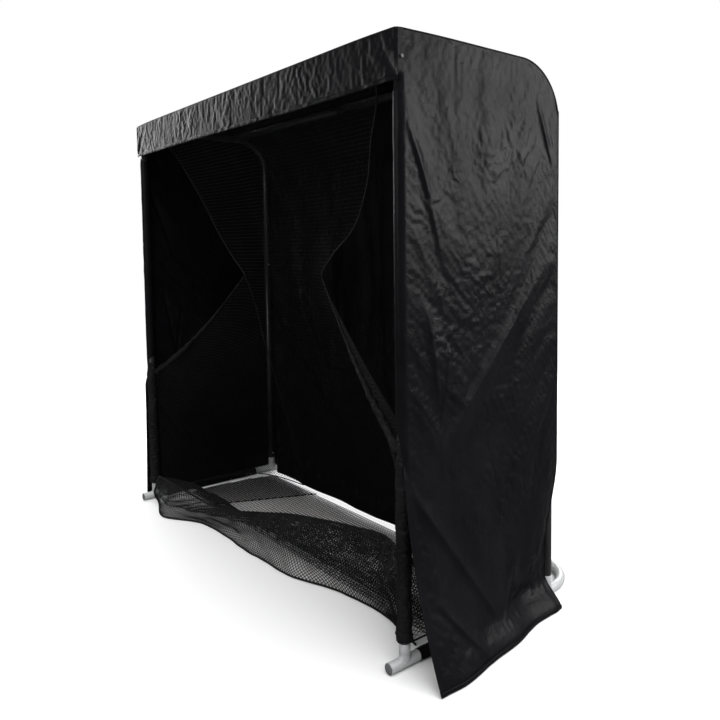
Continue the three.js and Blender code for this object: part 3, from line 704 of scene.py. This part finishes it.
PITCH = 0.0185           # from knot to knot
STRAND = 0.0011          # radius of a cord, and below it the thicker cords of two nets
LIP_STRAND = 0.0018
FLOOR_STRAND = 0.0017
NET_TOP = TOP_Z - 0.036
SEAM = [Vector(p) for p in (
    (1.030, 0.008, NET_TOP), (0.945, 0.090, 2.085), (0.855, 0.132, 1.950), (0.765, 0.180, 1.790),
    (0.640, 0.205, 1.620), (0.470, 0.200, 1.490), (0.372, 0.218, 1.390), (0.393, 0.292, 1.220),
    (0.450, 0.378, 0.990), (0.535, 0.530, 0.640), (0.620, 0.680, 0.280), (0.670, 0.752, 0.040))]
WAIST = 6 / 11
SEAM_LINE = np.array([along(SEAM, t / 400) for t in range(401)])[::-1]
SPLIT_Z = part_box("net_return_panel")[1][2]


def cords(starts, ends, radius=STRAND):
    """Thin three-sided cords between pairs of points."""
    along_it = ends - starts
    length = np.linalg.norm(along_it, axis=1, keepdims=True)
    tangent = along_it / np.maximum(length, 1e-9)
    up = np.where(np.abs(tangent[:, 2:]) < 0.9, [[0.0, 0.0, 1.0]], [[1.0, 0.0, 0.0]])
    side = np.cross(tangent, up)
    side /= np.linalg.norm(side, axis=1, keepdims=True)
    other = np.cross(tangent, side)
    rings = [side * math.cos(a) + other * math.sin(a) for a in (0, 2.0944, 4.18879)]
    verts = np.stack([starts + r * radius for r in rings] + [ends + r * radius for r in rings], axis=1)
    base = np.arange(len(starts))[:, None] * 6
    faces = np.concatenate([base + [[k, (k + 1) % 3, (k + 1) % 3 + 3, k + 3]] for k in range(3)])
    return verts.reshape(-1, 3), faces


def lattice(points, inside):
    """The cords of a square mesh: between neighbours in a grid of points that are both inside."""
    across = inside[:, :-1] & inside[:, 1:]
    down = inside[:-1] & inside[1:]
    starts = np.concatenate([points[:, :-1][across], points[:-1][down]])
    ends = np.concatenate([points[:, 1:][across], points[1:][down]])
    return starts, ends


def add_net(name, starts, ends, mat, hides=(), radius=STRAND):
    """A net of cords, built as one piece from the cords' own surfaces."""
    home = np.array(HOME)
    verts, faces = cords(starts + home, ends + home, radius)
    net = add_piece(name, verts.tolist(), faces.tolist(), "frame", "netting", mat, hides)


def ball_net(x, z):
    edge_x = np.interp(z, SEAM_LINE[:, 2], SEAM_LINE[:, 0])
    edge_y = np.interp(z, SEAM_LINE[:, 2], SEAM_LINE[:, 1])
    drop = np.clip((NET_TOP - z) / NET_TOP, 0, 1)
    across = x / edge_x
    belly = 0.07 * np.sin(math.pi * drop) * (1 - across ** 2)
    folds = 0.006 * np.sin(across * 11 + 1.3) * np.sin(math.pi * drop) + 0.003 * np.sin(x * 23 + z * 5)
    return np.stack([x, edge_y + belly + folds * (1 - np.abs(across) ** 4), z], axis=-1)


def build_ball_net(mat):
    heights = np.linspace(NET_TOP, 0.045, 500)
    middle = ball_net(np.zeros(500), heights)
    run = np.concatenate([[0], np.cumsum(np.linalg.norm(np.diff(middle, axis=0), axis=1))])
    rows = np.interp(np.arange(0, run[-1], PITCH), run, heights)
    columns = np.arange(-54, 55) * PITCH
    x, z = np.meshgrid(columns, rows)
    limit = np.interp(z, SEAM_LINE[:, 2], SEAM_LINE[:, 0])
    points = ball_net(x, z)
    inside = np.abs(x) <= limit
    for name, keep, flat, hides in (
            ("impact_net", z >= SPLIT_Z, (2.06, 1.33), "net_impact_panel"),
            ("return_net", z <= SPLIT_Z + PITCH, (1.34, 1.00), "net_return_panel")):
        starts, ends = lattice(points, inside & keep)
        tips, edges = [], []
        for j in np.where(keep[:, 0])[0]:
            span = np.where(inside[j])[0]
            for i, sign in ((span[0], -1), (span[-1], 1)):
                tips.append(points[j, i])
                edges.append(ball_net(np.array(sign * limit[j, i]), z[j, i]))
        add_net(name, np.concatenate([starts, tips]), np.concatenate([ends, edges]), mat,
                [hides])
    for side, s in SIDES.items():
        path = [HOME + Vector((s * p[0], p[1], p[2])) for p in SEAM_LINE[::4]]
        add_piece(f"net_edge_rope_{side}", *sweep(path, 0.0035, 8), "frame", "netting", mat)


def sampled(curve):
    """A curve as a function of arrays, from 200 points along it."""
    table = np.array([curve(k / 199) for k in range(200)])
    ticks = np.linspace(0, 1, 200)
    return lambda t: np.stack([np.interp(t, ticks, table[:, k]) for k in range(3)], axis=-1)


def patch(top, foot, front, rear):
    """A sheet between four edges: top and foot run along u, front and rear down v."""
    top, foot, front, rear = (sampled(c) for c in (top, foot, front, rear))
    a, b, c, d = top(0.0), top(1.0), foot(0.0), foot(1.0)

    def place(u, v):
        p, q = u[..., None], v[..., None]
        return (top(u) * (1 - q) + foot(u) * q + front(v) * (1 - p) + rear(v) * p
                - a * (1 - p) * (1 - q) - b * p * (1 - q) - c * (1 - p) * q - d * p * q)
    return place


def diagonal(place, width, height, pitch):
    """A square mesh turned 45 degrees on a sheet, as two arrays of cord ends."""
    step = pitch / math.sqrt(2)
    count = int((width + height) / step) + 2
    i, j = np.meshgrid(np.arange(-count, count), np.arange(0, count))
    u = (j + i) * step / width
    v = (j - i) * step / height
    inside = (u >= 0) & (u <= 1) & (v >= 0) & (v <= 1)
    points = place(np.clip(u, 0, 1), np.clip(v, 0, 1))
    return lattice(points, inside)


FOOT = [Vector(p) for p in ((1.148, 0.034, 0.054), (1.146, 0.330, 0.054), (1.100, 0.600, 0.050),
                            (0.930, 0.715, 0.044), (0.690, 0.760, 0.040))]
SLEEVE_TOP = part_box("net_upright_sleeve_r")[1][2]
SLEEVE_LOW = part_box("net_upright_sleeve_r")[0][2]


def side_patch(s):
    high = Vector((1.148, 0.012, SLEEVE_TOP - 0.012))
    waist = along(SEAM, WAIST)

    def flip(p):
        return (s * p[0], p[1], p[2])

    def top(u):
        return flip(high.lerp(waist, u) + Vector((0, 0, -0.045 * math.sin(math.pi * u))))
    return patch(top, lambda u: flip(along(FOOT, u)), lambda v: flip(high.lerp(FOOT[0], v)),
                 lambda v: flip(along(SEAM, lerp(WAIST, 1, v))))


def gathered_tube(path, radius, seed, taper=None, pinch=0.0055, count=14):
    """A fabric sleeve ruched along its tube."""
    total = len(path)

    def size(k, a):
        t = k / (total - 1)
        lean = t * count + a * 0.25
        ripple = noise.noise(Vector((math.cos(a) * 0.8, math.sin(a) * 0.8, lean + seed)))
        fine = 0.5 - abs(noise.noise(Vector((math.cos(a) * 1.6, math.sin(a) * 1.6, lean * 3.1 + seed)))) * 2
        return (radius + pinch * ripple + pinch * 0.7 * fine) * (taper(t) if taper else 1)
    return sweep(path, size, 36, 0.0015)


def build_side_nets(mat, cloth):
    for side, s in SIDES.items():
        place = side_patch(s)
        starts, ends = diagonal(place, 1.05, 1.15, PITCH)
        add_net(f"side_net_{side}", starts, ends, mat, [f"net_side_{side}"])
        band = [HOME + Vector(place(np.array(k / 120), np.array(0.0))) for k in range(121)]
        tube = gathered_tube(band, 0.011, 3 * s, lambda t: lerp(1.5, 0.35, smoothstep(0, 0.9, t)), 0.004, 30)
        add_piece(f"side_net_band_{side}", *tube, "frame", "sleeve_fabric", cloth)
        foot = [HOME + Vector(place(np.array(k / 80), np.array(1.0))) for k in range(81)]
        add_piece(f"side_net_foot_{side}", *sweep(foot, 0.0035, 8), "frame", "netting", mat)
        x = s * HALF
        post = [at(x, 0, lerp(SLEEVE_LOW, SLEEVE_TOP + 0.05, k / 360)) for k in range(361)]

        def neck(t):
            cuff = 1 + 0.12 * smoothstep(0.055, 0.03, t)
            return cuff * lerp(1, 0.8, smoothstep(0.86, 1, t))
        add_piece(f"upright_sleeve_{side}", *gathered_tube(post, 0.0272, 11 * s, neck), "frame",
                  "sleeve_fabric", cloth, [f"net_upright_sleeve_{side}"])
        low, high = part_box(f"net_rail_sleeve_{side}")
        rail = [at(x, lerp(low[1], high[1], k / 160) - HOME.y, RAIL_Z + 0.0004) for k in range(161)]
        add_piece(f"rail_sleeve_{side}", *gathered_tube(rail, 0.0222, 17 * s, None, 0.0012, 26), "frame",
                  "sleeve_fabric", cloth, [f"net_rail_sleeve_{side}"])


LIP_FOOT = [Vector(p) for p in (
    (-1.060, -0.030, 0.006), (-0.830, -0.095, 0.006), (-0.560, 0.040, 0.006), (-0.210, 0.045, 0.006),
    (0.060, 0.045, 0.006), (0.320, 0.075, 0.006), (0.600, 0.150, 0.006), (0.850, 0.170, 0.006),
    (1.110, 0.120, 0.006))]
LIP_TOP = [Vector(p) for p in (
    (-1.065, -0.020, 0.165), (-0.830, 0.050, 0.115), (-0.560, 0.130, 0.070), (-0.210, 0.180, 0.135),
    (0.060, 0.195, 0.200), (0.320, 0.200, 0.250), (0.600, 0.215, 0.290), (0.850, 0.190, 0.330),
    (1.115, 0.060, 0.360))]


def lip_layer(layer):
    """The front lip's outer layer (0), or the inner one (1) that falls back to the floor net."""
    lean = (-0.035, 0.075)[layer]

    def place(u, v):
        out = []
        for a, b in zip(u.ravel(), v.ravel()):
            low, high = along(LIP_FOOT, a), along(LIP_TOP, a)
            if layer:
                low = Vector((low.x * 0.98, 0.262, 0.004))
            p = low.lerp(high, b)
            rise = high.z - low.z
            p.y += lean * math.sin(math.pi * b) * (0.6 + rise)
            sag = noise.noise(Vector((a * 9, b * 2.2, 5 + layer * 7)))
            fine = noise.noise(Vector((a * 24, b * 5, 31 + layer * 3)))
            p.y += (sag * 0.022 + fine * 0.007) * math.sin(math.pi * min(b + 0.12, 1)) ** 0.5
            p.z = max(p.z + (sag * 0.012 + fine * 0.006) * b * (1 - b) * 4, 0.003)
            out.append(p)
        return np.array(out).reshape(u.shape + (3,))
    return place


def lip_fold(u, v):
    """The gathered top of the lip, folded over its rim."""
    drop = lip_layer(0)(u, 1 - v * (0.40 + 0.10 * np.sin(u * 13)))
    ripple = 0.006 * np.sin(u * 90) + 0.005 * np.sin(u * 37 + 1)
    return drop + np.stack([ripple, -0.010 * v ** 0.5 + ripple, np.zeros_like(u)], axis=-1)


def build_lip(mat):
    for layer, name in enumerate(("lip_net_outer", "lip_net_inner")):
        starts, ends = diagonal(lip_layer(layer), 2.35, 0.34, PITCH * 0.8)
        add_net(name, starts, ends, mat, [] if layer else ["net_front_lip"],
                LIP_STRAND)
    starts, ends = diagonal(lip_fold, 2.35, 0.16, PITCH * 0.6)
    add_net("lip_net_fold", starts, ends, mat, radius=LIP_STRAND)
    place = lip_layer(0)
    ticks = np.arange(161) / 160
    rim = [HOME + Vector(p) for p in place(ticks, np.ones(161))]
    add_piece("lip_rim_rope", *sweep(rim, 0.005, 8), "frame", "netting", mat)
    foot = [HOME + Vector(p) for p in place(ticks, np.zeros(161))]
    add_piece("lip_foot_rope", *sweep(foot, 0.0045, 8), "frame", "netting", mat)
    hem_line = [HOME + Vector(p) for p in place(np.zeros(30), np.arange(30) / 29)]
    add_piece("lip_end_hem", *sweep(hem_line, 0.006, 10), "frame", "netting", mat)


def build_floor_net(mat):
    low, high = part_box("net_floor_panel")
    front, back = low[1] - HOME.y - 0.02, high[1] - HOME.y + 0.04
    x, y = np.meshgrid(np.arange(-61, 62) * PITCH, np.arange(front, back, PITCH))
    limit = 1.130 - 0.05 * np.clip((y - 0.430) / 0.305, 0, None) ** 2
    z = 0.0024 + 0.0008 * np.sin(x * 9) * np.sin(y * 14)
    starts, ends = lattice(np.stack([x, y, z], axis=-1), np.abs(x) <= limit)
    add_net("floor_net", starts, ends, mat, ["net_floor_panel"], FLOOR_STRAND)
    seam = [at(lerp(-0.82, -0.56, k / 40), lerp(front, back, k / 40), 0.006) for k in range(41)]
    add_piece("floor_net_seam", *sweep(seam, 0.003, 8), "frame", "netting", mat)
    beside = x < -0.82 + 0.26 * (y - front) / (back - front)
    lifted = np.stack([x + 0.006, y + 0.007, z + 0.0045], axis=-1)
    starts, ends = lattice(lifted, (np.abs(x) <= limit) & beside)
    add_net("floor_net_overlap", starts, ends, mat)


def build_top_sleeve(cloth):
    low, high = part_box("net_top_sleeve")
    path = [Vector((lerp(low[0], high[0], k / 300), HOME.y, TOP_Z)) for k in range(301)]
    add_piece("top_sleeve", *gathered_tube(path, 0.0272, 90, None, 0.0016, 60), "frame", "sleeve_fabric",
              cloth, ["net_top_sleeve"])


# ---------------------------------------------------------------- everything, in order

grey = powder_coat("grey_powder_coat", (0.34, 0.345, 0.35, 1), (0.39, 0.395, 0.40, 1))
black = powder_coat("black_powder_coat", (0.008, 0.008, 0.009, 1), (0.013, 0.013, 0.014, 1))
plastic, steel, cord = moulded_plastic(), zinc(), net_cord()
cover_cloth = woven("cover_polyester", ((0.0022, 0.0022, 0.0028, 1), (0.0042, 0.0042, 0.0052, 1)),
                    (0.30, 0.42), 0.35)
sleeve_cloth = woven("sleeve_polyester", ((0.004, 0.004, 0.0045, 1), (0.008, 0.008, 0.009, 1)),
                     (0.42, 0.56), 0.5)
add_camera()
add_stage()
add_lights()
build_frame(grey, black, plastic, steel)
build_cover(cover_cloth, cord)
build_ball_net(cord)
build_side_nets(cord, sleeve_cloth)
build_lip(cord)
build_floor_net(cord)
build_top_sleeve(sleeve_cloth)
